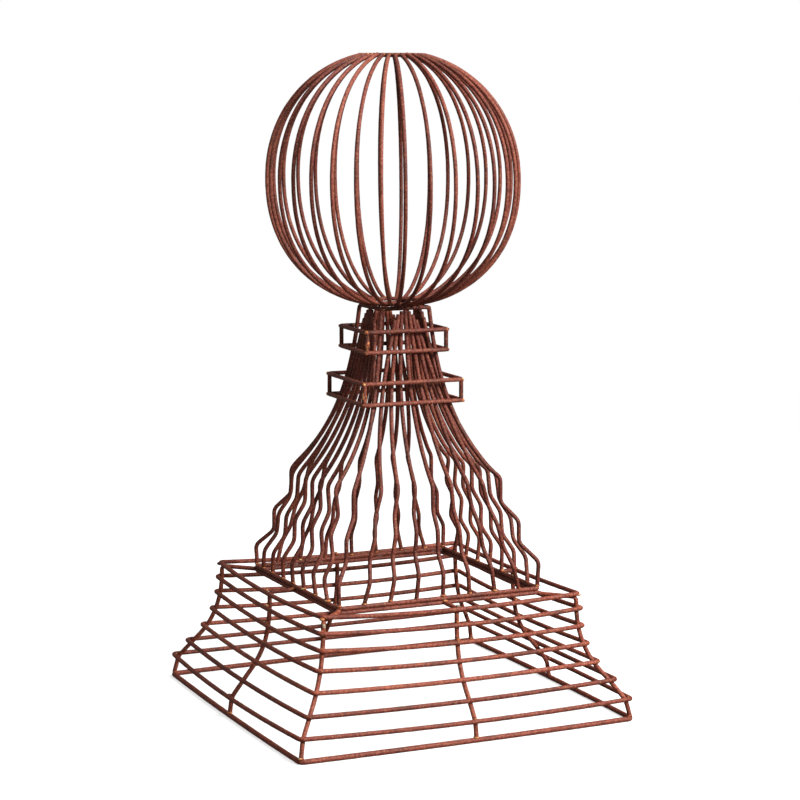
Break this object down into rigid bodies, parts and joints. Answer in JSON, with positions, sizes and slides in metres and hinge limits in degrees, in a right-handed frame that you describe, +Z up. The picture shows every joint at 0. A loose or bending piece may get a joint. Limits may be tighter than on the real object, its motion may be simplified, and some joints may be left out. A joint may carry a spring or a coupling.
{
  "type": "wire finial",
  "caption": "Rusted iron wire finial: low flared square plinth, fluted concave spire with square collars, and a ribbed wire ball on top.",
  "frame": {"origin": "on the floor, below the middle of the square base", "axes": "+Z up the finial's axis to the top of the ball, +X across the front to the right, -Y out of the front face"},
  "size_m": [0.4194, 0.4194, 0.7423],
  "materials": {
    "base_wire": "rusted iron wire, matt red-brown",
    "wire": "rusted iron wire, matt red-brown",
    "rib_wire": "rusted iron wire, matt red-brown"
  },
  "bodies": {
    "root": {"plinth_hoop_1": "base_wire", "plinth_hoop_2": "wire", "plinth_hoop_3": "wire", "plinth_hoop_4": "wire", "plinth_hoop_5": "wire", "plinth_hoop_6": "wire", "plinth_hoop_7": "wire", "plinth_hoop_8": "wire", "plinth_post_front_right": "wire", "plinth_post_back_right": "wire", "plinth_post_back_left": "wire", "plinth_post_front_left": "wire", "plinth_post_front": "wire", "plinth_post_right": "wire", "plinth_post_back": "wire", "plinth_post_left": "wire", "spire_foot_hoop_lower": "wire", "spire_foot_hoop_upper": "wire", "spire_wires_front": "wire", "spire_wires_right": "wire", "spire_wires_back": "wire", "spire_wires_left": "wire", "neck_frame": "wire", "upper_collar": "wire", "lower_collar": "wire", "ball_ring_bottom": "rib_wire", "ball_ring_top": "rib_wire", "ball_rib_01": "rib_wire", "ball_rib_02": "rib_wire", "ball_rib_03": "rib_wire", "ball_rib_04": "rib_wire", "ball_rib_05": "rib_wire", "ball_rib_06": "rib_wire", "ball_rib_07": "rib_wire", "ball_rib_08": "rib_wire", "ball_rib_09": "rib_wire", "ball_rib_10": "rib_wire", "ball_rib_11": "rib_wire", "ball_rib_12": "rib_wire", "ball_rib_13": "rib_wire", "ball_rib_14": "rib_wire", "ball_rib_15": "rib_wire", "ball_rib_16": "rib_wire", "ball_rib_17": "rib_wire", "ball_rib_18": "rib_wire", "ball_rib_19": "rib_wire", "ball_rib_20": "rib_wire", "ball_rib_21": "rib_wire", "ball_rib_22": "rib_wire", "ball_rib_23": "rib_wire", "ball_rib_24": "rib_wire", "ball_rib_25": "rib_wire", "ball_rib_26": "rib_wire", "ball_rib_27": "rib_wire", "ball_rib_28": "rib_wire", "ball_rib_29": "rib_wire", "ball_rib_30": "rib_wire", "ball_rib_31": "rib_wire", "ball_rib_32": "rib_wire"}
  },
  "joints": []
}
